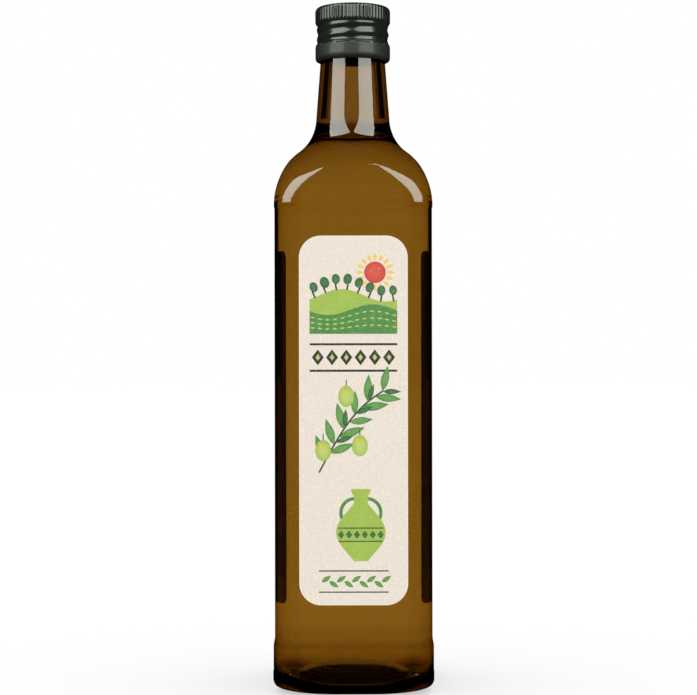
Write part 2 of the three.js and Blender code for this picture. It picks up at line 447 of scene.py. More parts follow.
class Shader:
    """A material's node tree that is built by short calls."""

    def __init__(self, name: str) -> None:
        """Starts a material with a Principled shader.

        Args:
            name: name of the material.
        """
        self.material = bpy.data.materials.new(name)
        self.material.use_nodes = True
        self.nodes = self.material.node_tree.nodes
        self.links = self.material.node_tree.links
        self.surface = self.nodes["Principled BSDF"]
        self.output = self.nodes["Material Output"]

    def set(self, **values: object) -> None:
        """Sets sockets of the Principled shader.

        Args:
            values: socket name, with underscores for spaces, to a value or a socket to link.
        """
        for key, value in values.items():
            socket = self.surface.inputs[key.replace("_", " ")]
            if isinstance(value, Socket):
                self.links.new(value, socket)
            else:
                socket.default_value = value

    def add(self, kind: str, inputs: dict | None = None, **settings: object) -> bpy.types.Node:
        """Adds a node.

        Args:
            kind: node type.
            inputs: socket name or index to a value or a socket to link.
            settings: properties of the node.

        Returns:
            The node.
        """
        node = self.nodes.new(kind)
        for key, value in settings.items():
            setattr(node, key, value)
        for key, value in (inputs or {}).items():
            if isinstance(value, Socket):
                self.links.new(value, node.inputs[key])
            else:
                node.inputs[key].default_value = value
        return node

    def place(self, scale: Triple = (1.0, 1.0, 1.0)) -> Socket:
        """Gives Object coordinates stretched by a scale."""
        where = self.add("ShaderNodeTexCoord").outputs["Object"]
        return self.add("ShaderNodeMapping", {"Vector": where, "Scale": scale}).outputs[0]

    def noise(self, scale: float, detail: float, stretch: Triple = (1.0, 1.0, 1.0)) -> Socket:
        """Gives noise from 0 to 1 on Object coordinates.

        Args:
            scale: spots in a metre.
            detail: how many finer layers it has.
            stretch: scale of each axis.

        Returns:
            The noise.
        """
        inputs = {"Vector": self.place(stretch), "Scale": scale, "Detail": detail}
        return self.add("ShaderNodeTexNoise", inputs).outputs["Fac"]

    def ramp(self, value: Socket, low: float, high: float, start: float, end: float) -> Socket:
        """Maps a value from one range to another, clamped.

        Args:
            value: what is mapped.
            low: value that gives start.
            high: value that gives end.
            start: result at low.
            end: result at high.

        Returns:
            The mapped value.
        """
        inputs = {"Value": value, "From Min": low, "From Max": high, "To Min": start, "To Max": end}
        return self.add("ShaderNodeMapRange", inputs).outputs[0]

    def mix(self, share: object, a: object, b: object) -> Socket:
        """Mixes two colours.

        Args:
            share: share of the second.
            a: first colour.
            b: second colour.

        Returns:
            The mixed colour.
        """
        node = self.add("ShaderNodeMix", data_type="RGBA")
        for socket, value in zip((node.inputs[0], node.inputs[6], node.inputs[7]), (share, a, b)):
            if isinstance(value, Socket):
                self.links.new(value, socket)
            else:
                socket.default_value = value
        return node.outputs[2]

    def bump(self, height: Socket, strength: float, depth: float) -> None:
        """Roughens the surface by a height.

        Args:
            height: the height, from 0 to 1.
            strength: how much of it shows.
            depth: its real size in metres.
        """
        inputs = {"Height": height, "Strength": strength, "Distance": depth}
        self.set(Normal=self.add("ShaderNodeBump", inputs).outputs[0])


@dataclass(frozen=True)
class ClearFinish:
    """A clear body that swallows light on its way through: the tinted glass or the oil."""

    name: str
    index: float
    passed: Triple
    density: float
    ripple: float
    shine: float

    def build(self) -> bpy.types.Material:
        """Makes the material.

        Returns:
            The material.
        """
        shader = Shader(self.name)
        smear = shader.noise(60.0, 3.0)
        shader.set(
            Base_Color=(1.0, 1.0, 1.0, 1.0),
            Transmission_Weight=1.0,
            IOR=self.index,
            Roughness=shader.ramp(smear, 0.3, 0.75, 0.0, 0.02),
            Specular_Tint=(self.shine, self.shine, self.shine, 1.0),
        )
        if self.ripple > 0:
            shader.bump(shader.noise(45.0, 1.0), self.ripple, 0.0004)
        inputs = {"Color": (*self.passed, 1.0), "Density": self.density}
        inside = shader.add("ShaderNodeVolumeAbsorption", inputs)
        shader.links.new(inside.outputs[0], shader.output.inputs["Volume"])
        return shader.material


@dataclass(frozen=True)
class LacquerFinish:
    """Dark green lacquer on aluminium, duller on the tamper band and the lid, whose edges are in metres."""

    colour: Colour = field(default_factory=lambda: srgb(24, 31, 24))
    band_edge: Point = (0.2758, 0.2752)
    lid_edge: Point = (0.2914, 0.2917)

    def build(self) -> bpy.types.Material:
        """Makes the material.

        Returns:
            The material.
        """
        shader = Shader("cap_lacquer")
        cloud = shader.noise(180.0, 4.0)
        worn = shader.mix(shader.ramp(cloud, 0.35, 0.75, 0.0, 0.5), self.colour, srgb(34, 40, 30))
        height = shader.add("ShaderNodeSeparateXYZ", {0: shader.place()}).outputs["Z"]
        gloss = shader.ramp(cloud, 0.3, 0.8, 0.18, 0.28)
        band = shader.ramp(height, *self.band_edge, 0.0, 0.3)
        lid = shader.ramp(height, *self.lid_edge, 0.0, 0.35)
        dull = shader.add("ShaderNodeMath", {0: band, 1: lid}).outputs[0]
        shader.set(
            Base_Color=worn,
            Metallic=0.0,
            Roughness=shader.add("ShaderNodeMath", {0: gloss, 1: dull}).outputs[0],
            Specular_IOR_Level=0.35,
            Coat_Weight=0.15,
            Coat_Roughness=0.1,
        )
        shader.bump(shader.noise(2600.0, 2.0), 0.05, 0.00005)
        return shader.material


@dataclass(frozen=True)
class PaperFinish:
    """Cream paper with fine flecks and a paler cut edge."""

    name: str
    paper: Colour = field(default_factory=lambda: srgb(236, 225, 210))
    light: Colour = field(default_factory=lambda: srgb(246, 239, 228))
    dark: Colour = field(default_factory=lambda: srgb(214, 198, 178))

    def build(self) -> bpy.types.Material:
        """Makes the material.

        Returns:
            The material.
        """
        shader = Shader(self.name)
        fibre = shader.noise(1500.0, 3.0, (1.0, 1.0, 0.45))
        speck = shader.noise(2300.0, 2.0)
        pale = shader.mix(shader.ramp(fibre, 0.5, 0.7, 0.0, 0.9), self.paper, self.light)
        flecked = shader.mix(shader.ramp(speck, 0.58, 0.7, 0.0, 0.8), pale, self.dark)
        rim = shader.add("ShaderNodeAttribute", attribute_name="rim").outputs["Fac"]
        shader.set(
            Base_Color=shader.mix(rim, flecked, srgb(250, 243, 226)),
            Roughness=shader.ramp(fibre, 0.3, 0.7, 0.72, 0.88),
            Specular_IOR_Level=0.25,
        )
        shader.bump(fibre, 0.25, 0.00004)
        return shader.material


@dataclass(frozen=True)
class InkFinish:
    """Printing ink that lets a little of the paper's grain through, paler towards the middle of a motif."""

    name: str
    ink: Colour
    pale: Colour

    def build(self) -> bpy.types.Material:
        """Makes the material.

        Returns:
            The material.
        """
        shader = Shader(self.name)
        grain = shader.noise(1900.0, 3.0)
        patch = shader.noise(150.0, 2.0)
        lit = shader.add("ShaderNodeAttribute", attribute_name="shade").outputs["Fac"]
        shaded = shader.mix(lit, self.ink, self.pale)
        uneven = shader.mix(shader.ramp(patch, 0.35, 0.7, 0.0, 0.14), shaded, self.pale)
        shader.set(
            Base_Color=shader.mix(shader.ramp(grain, 0.6, 0.72, 0.0, 0.4), uneven, srgb(236, 225, 210)),
            Roughness=shader.ramp(grain, 0.3, 0.7, 0.5, 0.66),
            Specular_IOR_Level=0.3,
        )
        shader.bump(grain, 0.15, 0.00003)
        return shader.material


class Ink(Enum):
    """Inks of the labels: the full colour and a paler one."""

    LEAF = ("ink_leaf_green", srgb(70, 138, 58), srgb(118, 172, 84))
    DEEP = ("ink_deep_green", srgb(34, 92, 50), srgb(70, 132, 66))
    LIGHT = ("ink_light_green", srgb(158, 190, 66), srgb(204, 218, 128))
    COAL = ("ink_charcoal", srgb(38, 34, 34), srgb(62, 56, 54))
    RED = ("ink_sun_red", srgb(206, 52, 40), srgb(224, 92, 60))
    YELLOW = ("ink_ray_yellow", srgb(240, 190, 40), srgb(250, 216, 96))

    def material(self) -> bpy.types.Material:
        """Gives the ink's material, made once."""
        known = bpy.data.materials.get(self.value[0])
        return known or InkFinish(*self.value).build()


class MotifRow:
    """Tree that sets a flat motif again and again along a path on a label."""

    def __init__(self) -> None:
        """Builds the tree."""
        tree = Tree("motif_row")
        motif = tree.input("Motif", "Object")
        count = tree.input("Count", "Int", 8)
        lean = tree.input("Lean", "Float", 0.0)
        swap = tree.input("Swap", "Float", 0.0)
        sway = tree.input("Sway", "Float", 0.0)
        shrink = tree.input("Shrink", "Float", 0.0)
        seed = tree.input("Seed", "Int", 3)
        material = tree.input("Material", "Material")
        path = {"Curve": tree.source.outputs["Geometry"], "Count": count}
        row = tree.add("GeometryNodeCurveToPoints", path)
        axes = tree.add("ShaderNodeSeparateXYZ", {0: row.outputs["Tangent"]}).outputs
        along = tree.math("ARCTAN2", axes[2], axes[0])
        odd = tree.math("MODULO", tree.add("GeometryNodeInputIndex").outputs[0], 2.0)
        side = tree.math("SUBTRACT", 1.0, tree.math("MULTIPLY", tree.math("MULTIPLY", odd, swap), 2.0))
        turn = tree.math("ADD", along, tree.math("MULTIPLY", lean, side))
        loose = self.random(tree, tree.math("MULTIPLY", sway, -1.0), sway, seed)
        angle = tree.math("MULTIPLY", tree.math("ADD", turn, loose), -1.0)
        size = self.random(tree, tree.math("SUBTRACT", 1.0, shrink), 1.0, seed)
        shape = tree.add("GeometryNodeObjectInfo", {"Object": motif}).outputs["Geometry"]
        inputs = {
            "Points": row.outputs["Points"],
            "Instance": shape,
            "Rotation": tree.add("ShaderNodeCombineXYZ", {1: angle}).outputs[0],
            "Scale": size,
        }
        self.tree = tree.close(tree.add("GeometryNodeInstanceOnPoints", inputs).outputs[0], material)

    @staticmethod
    def random(tree: Tree, low: object, high: object, seed: Socket) -> Socket:
        """Adds a random value for each point.

        Args:
            tree: the tree under way.
            low: least value.
            high: greatest value.
            seed: seed of the row.

        Returns:
            The value.
        """
        node = tree.add("FunctionNodeRandomValue", {"Seed": seed}, data_type="FLOAT")
        for name, value in (("Min", low), ("Max", high)):
            tree.feed(next(s for s in node.inputs if s.name == name and s.enabled), value)
        return next(s for s in node.outputs if s.enabled)

    def repeat(
        self, name: str, path: list[Ring], closed: bool, motif: bpy.types.Mesh, material: bpy.types.Material,
        **values: float,
    ) -> bpy.types.Object:
        """Sets a motif along a path.

        Args:
            name: name of the piece.
            path: points of the path in metres.
            closed: whether the path ends where it starts.
            motif: the flat motif.
            material: finish of the row.
            values: inputs of the tree, in lower case.

        Returns:
            The row as a plain mesh.
        """
        curve = bpy.data.curves.new(name + "_path", "CURVE")
        curve.dimensions = "3D"
        spline = curve.splines.new("POLY")
        spline.points.add(len(path) - 1)
        for point, place in zip(spline.points, path):
            point.co = (*place, 1.0)
        spline.use_cyclic_u = closed
        stamp = bpy.data.objects.new(name + "_motif", motif)
        inputs: dict[str, object] = {key.capitalize(): value for key, value in values.items()}
        inputs.update({"Motif": stamp, "Material": material})
        piece = grow(name, bpy.data.objects.new(name + "_host", curve), self.tree, inputs)
        bpy.data.objects.remove(stamp)
        return piece


def plate(name: str, outlines: list[list[Ring]], inward: Ring, lit: bool) -> bpy.types.Mesh:
    """Makes thin closed plates from outlines.

    Args:
        name: name of the mesh.
        outlines: closed outlines in metres.
        inward: step from the front of a plate to its back.
        lit: whether a plate is fanned to its middle, where its shade is 1.

    Returns:
        The mesh, with its shade on the points.
    """
    mesh = bmesh.new()
    shade = mesh.verts.layers.float.new("shade")
    for outline in outlines:
        front = [mesh.verts.new(point) for point in outline]
        back = [mesh.verts.new([a + b for a, b in zip(point, inward)]) for point in outline]
        for i, vertex in enumerate(front):
            j = (i + 1) % len(front)
            mesh.faces.new((vertex, front[j], back[j], back[i]))
        mesh.faces.new(back[::-1])
        if not lit:
            mesh.faces.new(front)
            continue
        middle = [sum(axis) / len(outline) for axis in zip(*outline)]
        loop = front
        for share in (0.7, 0.4):
            inner = [mesh.verts.new([lerp(m, c, share) for m, c in zip(middle, point)]) for point in outline]
            for vertex in inner:
                vertex[shade] = 1 - share
            for i, vertex in enumerate(loop):
                j = (i + 1) % len(loop)
                mesh.faces.new((vertex, loop[j], inner[j], inner[i]))
            loop = inner
        mesh.faces.new(loop)
    bmesh.ops.recalc_face_normals(mesh, faces=mesh.faces)
    data = bpy.data.meshes.new(name)
    mesh.to_mesh(data)
    mesh.free()
    return data


@dataclass
class BottleShape:
    """Sizes of the glass, in millimetres, and the outlines that follow from them."""

    panel_half: float = 33.15
    heel_half: float = 33.75
    seam_half: float = 33.9
    shoulder_half: float = 33.4
    corner: float = 9.5
    panel_bottom: float = 23.5
    panel_top: float = 203.1
    shoulder_start: float = 204.2
    bearing_outer: float = 29.6
    bearing_inner: float = 27.3
    punt_depth: float = 5.5
    heel_height: float = 6.0
    heel_top: float = 19.0
    seam_top: float = 8.6
    foot_roundness: float = 0.8
    neck_roundness: float = 0.985
    arcs: tuple[Point, ...] = ((40.2, 25.6), (20.6, 52.2), (-19.8, 4.3))
    round_from: float = 205.5
    round_to: float = 236.0
    neck_top: float = 268.6
    lock_ring: float = 15.3
    finish_radius: float = 14.45
    finish_top: float = 289.5
    mouth: float = 9.6
    wall: float = 3.2
    neck_wall: float = 4.0
    thicker_from: float = 215.0
    thicker_span: float = 30.0
    root_extra: float = 3.2
    root_height: float = 236.5
    root_span: float = 3.8
    base_dome: float = 10.6
    base_valley: float = 4.2
    base_fullness: float = 3.2
    valley_half: float = 26.0
    inner_heel: float = 7.4
    oil_level: float = 233.0
    oil_reach: float = 0.2
    arc_steps: int = 14

    def section(self) -> list[Ring]:
        """Gives the columns round the wall, with close ones where a flat meets a corner.

        Returns:
            Share of the corner, share of the flat and quarter of each column.
        """
        columns = []
        for quarter in range(4):
            columns += [(i / 16, 0.0, float(quarter)) for i in range(17)]
            columns += [(1.0, t, float(quarter)) for t in (0.01, 0.2, 0.4, 0.6, 0.8, 0.99)]
        return columns + [(0.0, 0.0, 4.0)]

    def roundness(self, z: float, corner_share: float) -> float:
        """Gives the corner radius as a share of the half width, at a height in the shoulder.

        Args:
            z: the height.
            corner_share: the share at the foot of the shoulder.

        Returns:
            The share.
        """
        share = smooth((z - self.round_from) / (self.round_to - self.round_from))
        return lerp(corner_share, self.neck_roundness, share)

    def thickness(self, z: float) -> float:
        """Gives the thickness of the glass at a height in the shoulder or neck.

        Args:
            z: the height.

        Returns:
            The thickness, more where the neck runs out into the shoulder.
        """
        extra = self.root_extra * math.exp(-(((z - self.root_height) / self.root_span) ** 2))
        return lerp(self.wall, self.neck_wall, smooth((z - self.thicker_from) / self.thicker_span)) + extra

    def upper_wall(self) -> list[tuple[float, float, float, float]]:
        """Gives the shoulder and neck from below.

        Returns:
            Half width, height and the two parts of the outward direction at each point.
        """
        wall = [(self.shoulder_half, self.shoulder_start, 1.0, 0.0)]
        lean = 0.0
        for radius, end in self.arcs:
            s, z = wall[-1][:2]
            for i in range(1, self.arc_steps + 1):
                a = math.radians(lerp(lean, end, i / self.arc_steps))
                across = radius * (math.cos(a) - math.cos(math.radians(lean)))
                up = radius * (math.sin(a) - math.sin(math.radians(lean)))
                wall.append((s + across, z + up, math.cos(a), math.sin(a)))
            lean = end
        s, z, out, up = wall[-1]
        for i in range(1, 9):
            level = lerp(z, self.neck_top, i / 8)
            wall.append((s - (level - z) * up / out, level, out, up))
        return wall

    def outside(self) -> list[Ring]:
        """Gives the outer wall from the middle of the punt to the mouth.

        Returns:
            Half width, corner radius and height of each ring.
        """
        rings: list[Ring] = [(0.0, 0.0, self.punt_depth)]
        for k in range(1, 13):
            share = k / 12
            s = self.bearing_inner * share
            round_share = lerp(self.neck_roundness, self.foot_roundness, share)
            rings.append((s, s * round_share, self.punt_depth * (1 - share * share)))
        middle = lerp(self.bearing_inner, self.bearing_outer, 0.5)
        rings.append((middle, self.bearing_outer * 0.97 * self.foot_roundness, 0.0))
        rings.append((self.bearing_outer, self.bearing_outer * self.foot_roundness, 0.0))
        for k in range(1, 13):
            a = k / 12 * math.pi / 2
            s = lerp(self.bearing_outer, self.seam_half, math.sin(a))
            r = lerp(self.bearing_outer * self.foot_roundness, self.corner + 0.7, smooth(k / 12) ** 0.6)
            rings.append((s, r, self.heel_height * (1 - math.cos(a))))
        for s, r, rise in (
            (self.seam_half, 0.7, 0.0),
            (self.seam_half - 0.04, 0.7, 0.3),
            (self.heel_half + 0.03, 0.6, 0.5),
            (self.heel_half, 0.6, 0.8),
        ):
            rings.append((s, self.corner + r, self.seam_top + rise))
        for k in range(9):
            e = smooth(k / 8)
            r = lerp(self.corner + 0.6, self.corner, e)
            z = lerp(self.heel_top, self.panel_bottom, k / 8)
            rings.append((lerp(self.heel_half, self.panel_half, e), r, z))
        for z in (self.panel_bottom + 0.6, 70.0, 110.0, 150.0, self.panel_top - 0.6, self.panel_top):
            rings.append((self.panel_half, self.corner, z))
        for k in range(1, 4):
            e = smooth(k / 4)
            z = lerp(self.panel_top, self.shoulder_start, k / 4)
            rings.append((lerp(self.panel_half, self.shoulder_half, e), self.corner, z))
        wall = self.upper_wall()
        rings += [(s, s * self.roundness(z, self.corner / self.shoulder_half), z) for s, z, _, _ in wall]
        neck = wall[-1][0]
        finish = [
            (neck, 270.4), (neck + 0.1, 270.8), (self.lock_ring, 271.5), (self.lock_ring, 273.6),
            (self.finish_radius, 275.0), (self.finish_radius, self.finish_top - 1.0),
            (self.finish_radius - 1.0, self.finish_top), (self.mouth + 0.8, self.finish_top),
            (self.mouth, self.finish_top - 0.8),
        ]
        return rings + [(s, s * self.neck_roundness, z) for s, z in finish]

    def inside(self, gap: float) -> list[Ring]:
        """Gives the inner wall from the middle of the base up to the neck.

        Args:
            gap: how far it is moved in from the glass, or out where it is negative.

        Returns:
            Half width, corner radius and height of each ring.
        """
        half = self.panel_half - self.wall - gap
        inner = self.corner - self.wall + 0.6
        rings: list[Ring] = [(0.0, 0.0, self.base_dome + gap)]
        for k in range(1, 13):
            share = k / 12
            s = self.valley_half * share
            z = self.base_valley + (self.base_dome - self.base_valley) * (1 - share**self.base_fullness) + gap
            rings.append((s, s * lerp(self.neck_roundness, self.foot_roundness, share), z))
        for k in range(1, 13):
            a = k / 12 * math.pi / 2
            s = lerp(self.valley_half, half, math.sin(a))
            r = lerp(self.valley_half * self.foot_roundness, inner, smooth(k / 12))
            rings.append((s, r, self.base_valley + gap + self.inner_heel * (1 - math.cos(a))))
        levels = (12.6, 70.0, 110.0, 150.0, self.shoulder_start - 2.5, self.shoulder_start - 1.5)
        rings += [(half, inner, z) for z in levels]
        for s, z, out, up in self.upper_wall():
            depth = self.thickness(z) + gap
            level = z - depth * up
            if level > self.shoulder_start - 0.5:
                width = min(half, s - depth * out)
                rings.append((width, width * self.roundness(z, inner / half), level))
        return rings

    def filled(self) -> list[Ring]:
        """Gives the oil from the middle of the base to the middle of its surface, reaching into the glass.

        Returns:
            Half width, corner radius and height of each ring.
        """
        wall = self.inside(-self.oil_reach)
        base_rings = 30
        clear = self.oil_level - 0.2
        below = [ring for i, ring in enumerate(wall) if i < base_rings or ring[2] < clear]
        above = wall[len(below)]
        t = (self.oil_level - below[-1][2]) / (above[2] - below[-1][2])
        top = (lerp(below[-1][0], above[0], t), lerp(below[-1][1], above[1], t), self.oil_level)
        lid = [(top[0] * share, top[1] * share, self.oil_level) for share in (0.98, 0.6, 0.3)]
        return below + [top] + lid + [(0.0, 0.0, self.oil_level)]


@dataclass
class Bottle:
    """The glass and the oil in it."""

    shape: BottleShape
    glass: ClearFinish = ClearFinish("bottle_glass", 1.52, (0.69, 0.54, 0.2), 700.0, 0.05, 1.0)
    oil: ClearFinish = ClearFinish("olive_oil", 1.47, (0.98, 0.93, 0.55), 45.0, 0.0, 0.0)

    def build(self, wall: SweptWall) -> None:
        """Makes both pieces.

        Args:
            wall: the tree that sweeps them.
        """
        rings = self.shape.outside() + self.shape.inside(0.0)[::-1]
        glass = wall.sweep(Piece.GLASS.value, rings, self.shape.section(), self.glass.build())
        settle(glass, "glass_bottle")
        oil = wall.sweep(Piece.OIL.value, self.shape.filled(), self.shape.section(), self.oil.build())
        settle(oil, "olive_oil")


@dataclass
class ScrewCap:
    """The aluminium cap with its knurl, rolled thread and tamper band, in millimetres."""

    top: float = 291.8
    bottom: float = 268.6
    radius: float = 16.0
    knurl_height: float = 0.25
    knurl_count: int = 60
    knurl_bottom: float = 285.0
    knurl_top: float = 291.0
    thread_radius: float = 15.35
    thread_height: float = 0.25
    thread_pitch: float = 4.3
    thread_start: float = 274.9
    skirt_radius: float = 16.2
    slit_count: int = 12
    slit_level: float = 275.1
    columns: int = 720
    finish: LacquerFinish = field(default_factory=LacquerFinish)

    def profile(self) -> list[Ring]:
        """Gives the wall from under the top, down the inside, round the rim and up the outside.

        Returns:
            Radius twice and height of each ring.
        """
        inside = [
            (0.0, 290.1), (13.0, 290.1), (14.85, 289.6), (14.85, 276.2),
            (15.7, 274.8), (15.7, 270.3), (15.3, 269.5), (14.3, 269.1),
        ]
        rim = [(14.3, self.bottom), (15.2, 268.68), (15.75, 268.98), (16.08, 269.55)]
        rim.append((self.skirt_radius, 270.4))
        sixths = [k / 6 for k in range(1, 7)]
        turns = [k / 8 * math.pi / 2 for k in range(1, 9)]
        skirt = [(self.skirt_radius, z) for z in (271.0, 273.0, 274.2, 274.5)]
        slit = [(lerp(self.skirt_radius, 16.05, k / 8), lerp(274.6, 275.4, k / 8)) for k in range(9)]
        flare = [(lerp(16.05, self.thread_radius, smooth(t)), lerp(275.4, 276.6, t)) for t in sixths]
        thread = [(self.thread_radius, lerp(276.6, 284.2, k / 26)) for k in range(1, 27)]
        step = [(lerp(self.thread_radius, self.radius, smooth(t)), lerp(284.2, 285.0, t)) for t in sixths]
        knurl = [(self.radius, lerp(285.0, 290.6, k / 14)) for k in range(1, 15)]
        edge = [(14.8 + 1.2 * math.cos(a), 290.6 + 1.2 * math.sin(a)) for a in turns]
        lid = [(14.4, self.top), (8.0, self.top), (0.0, self.top)]
        wall = inside + rim + skirt + slit + flare + thread + step + knurl + edge + lid
        return [(r, r, z) for r, z in wall]

    def build(self, wall: SweptWall) -> None:
        """Makes the cap.

        Args:
            wall: the tree that sweeps it.
        """
        quarter = self.columns // 4
        section = [(i % quarter / quarter, 0.0, float(i // quarter)) for i in range(self.columns + 1)]
        cap = wall.sweep(
            Piece.CAP.value, self.profile(), section, self.finish.build(),
            thread_height=self.thread_height, thread_pitch=self.thread_pitch, thread_start=self.thread_start,
            thread_bottom=276.4, thread_top=284.6,
            knurl_height=self.knurl_height, knurl_count=float(self.knurl_count),
            knurl_bottom=self.knurl_bottom, knurl_top=self.knurl_top,
            slit_depth=0.3, slit_count=float(self.slit_count), slit_level=self.slit_level,
        )
        settle(cap, "screw_cap")


@dataclass
class Label:
    """A paper label with rounded corners on one face of the bottle, in millimetres."""

    piece: Piece
    node: str
    bottom: float
    top: float
    side: int
    width: float = 45.2
    corner: float = 9.1
    thickness: float = 0.15
    rim: float = 0.5
    face: float = 33.15

    def outline(self, inset: float) -> list[Point]:
        """Gives the label's outline.

        Args:
            inset: how far inside the edge it runs.

        Returns:
            Points anticlockwise as seen from the front, from the middle of the label.
        """
        half = (self.width / 2 - inset, (self.top - self.bottom) / 2 - inset)
        r = self.corner - inset
        points = []
        for quarter, (across, up) in enumerate(((1, 1), (-1, 1), (-1, -1), (1, -1))):
            for i in range(17):
                a = (quarter + i / 16) * math.pi / 2
                u = across * (half[0] - r) + r * math.cos(a)
                v = up * (half[1] - r) + r * math.sin(a)
                points.append((u, v))
        return points

    def spot(self, point: Point, depth: float) -> Triple:
        """Gives the place in metres of a point of the label.

        Args:
            point: across and up from the middle of the label.
            depth: height over the glass.

        Returns:
            The place.
        """
        middle = (self.bottom + self.top) / 2
        return (-self.side * point[0] * MM, self.side * (self.face + depth) * MM, (middle + point[1]) * MM)

    def build(self) -> None:
        """Makes the paper."""
        mesh = bmesh.new()
        rim = mesh.verts.layers.float.new("rim")
        loops = []
        steps = ((0.0, 0.0, 1.0), (0.0, self.thickness, 1.0), (self.rim, self.thickness, 0.0))
        for inset, depth, pale in steps:
            loop = [mesh.verts.new(self.spot(point, depth)) for point in self.outline(inset)]
            for vertex in loop:
                vertex[rim] = pale
            loops.append(loop)
        for low, high in zip(loops, loops[1:]):
            for i, vertex in enumerate(low):
                j = (i + 1) % len(low)
                mesh.faces.new((vertex, low[j], high[j], high[i]))
        mesh.faces.new(loops[-1])
        mesh.faces.new(loops[0][::-1])
        bmesh.ops.recalc_face_normals(mesh, faces=mesh.faces)
        data = bpy.data.meshes.new(self.piece.value)
        mesh.to_mesh(data)
        mesh.free()
        data.materials.append(PaperFinish(self.piece.value).build())
        paper = bpy.data.objects.new(self.piece.value, data)
        bpy.context.scene.collection.objects.link(paper)
        settle(face_outwards(paper), self.node)


@dataclass
class LabelPrint:
    """Print on a label, in millimetres from the label's middle."""

    label: Label
    prefix: str
    rows: MotifRow
    film: float = 0.01

    def height(self, layer: int) -> float:
        """Height of a layer of ink over the glass."""
        return self.label.thickness + self.film * (1.5 * layer + 1)

    def field(self, name: str, outlines: list[list[Point]], layer: int, ink: Ink, lit: bool = False) -> None:
        """Prints fields of one ink.

        Args:
            name: name of the piece.
            outlines: outlines of the fields.
            layer: order of the ink, from the paper up.
            ink: the ink.
            lit: whether the fields are paler towards their middle.
        """
        spots = [[self.label.spot(point, self.height(layer)) for point in outline] for outline in outlines]
        mesh = plate(self.prefix + name, spots, (0.0, -self.label.side * self.film * MM, 0.0), lit)
        mesh.materials.append(ink.material())
        piece = bpy.data.objects.new(self.prefix + name, mesh)
        bpy.context.scene.collection.objects.link(piece)
        settle(piece)

    def row(
        self,
        name: str,
        path: list[Point],
        motif: list[Point],
        layer: int,
        ink: Ink,
        closed: bool = False,
        **values: float,
    ) -> None:
        """Prints a motif again and again along a path.

        Args:
            name: name of the piece.
            path: points of the path.
            motif: outline of the motif, with its length along the path.
            layer: order of the ink, from the paper up.
            ink: the ink.
            closed: whether the path ends where it starts.
            values: inputs of the row's tree.
        """
        outline = [(u * MM, 0.0, v * MM) for u, v in motif]
        stamp = plate(self.prefix + name, [outline], (0.0, -self.label.side * self.film * MM, 0.0), True)
        spots = [self.label.spot(point, self.height(layer)) for point in path]
        piece = self.rows.repeat(self.prefix + name, spots, closed, stamp, ink.material(), **values)
        settle(piece)


def disc(middle: Point, across: float, up: float, steps: int = 32) -> list[Point]:
    """Outline of an ellipse with the given half sizes."""
    turns = [2 * math.pi * i / steps for i in range(steps)]
    return [(middle[0] + across * math.cos(a), middle[1] + up * math.sin(a)) for a in turns]


def bar(left: float, right: float, bottom: float, top: float) -> list[Point]:
    """Outline of an upright rectangle."""
    return [(left, bottom), (right, bottom), (right, top), (left, top)]


def leaf(length: float, width: float, foot: float = 0.0) -> list[Point]:
    """Outline of a pointed leaf that starts at its foot and lies along the path."""
    edge = [(foot + length * i / 12, width / 2 * math.sin(math.pi * (i / 12) ** 0.85)) for i in range(13)]
    return edge + [(u, -v) for u, v in edge[-2:0:-1]]


def diamond(length: float, width: float) -> list[Point]:
    """Outline of a diamond that lies along the path."""
    return [(length / 2, 0.0), (0.0, width / 2), (-length / 2, 0.0), (0.0, -width / 2)]


def hill(left: float, right: float, bottom: float, crest: float, swell: float, shift: float) -> list[Point]:
    """Outline of a rolling hill with a level foot.

    Args:
        left: left end.
        right: right end.
        bottom: level of the foot.
        crest: middle level of the crest.
        swell: how far the crest rises and falls.
        shift: where along it the crest starts, in radians.

    Returns:
        The outline.
    """
    top = [(u, crest + swell * math.sin(u * HILL_WAVE + shift)) for u in spread(right, left, 40)]
    return [(left, bottom), (right, bottom)] + top


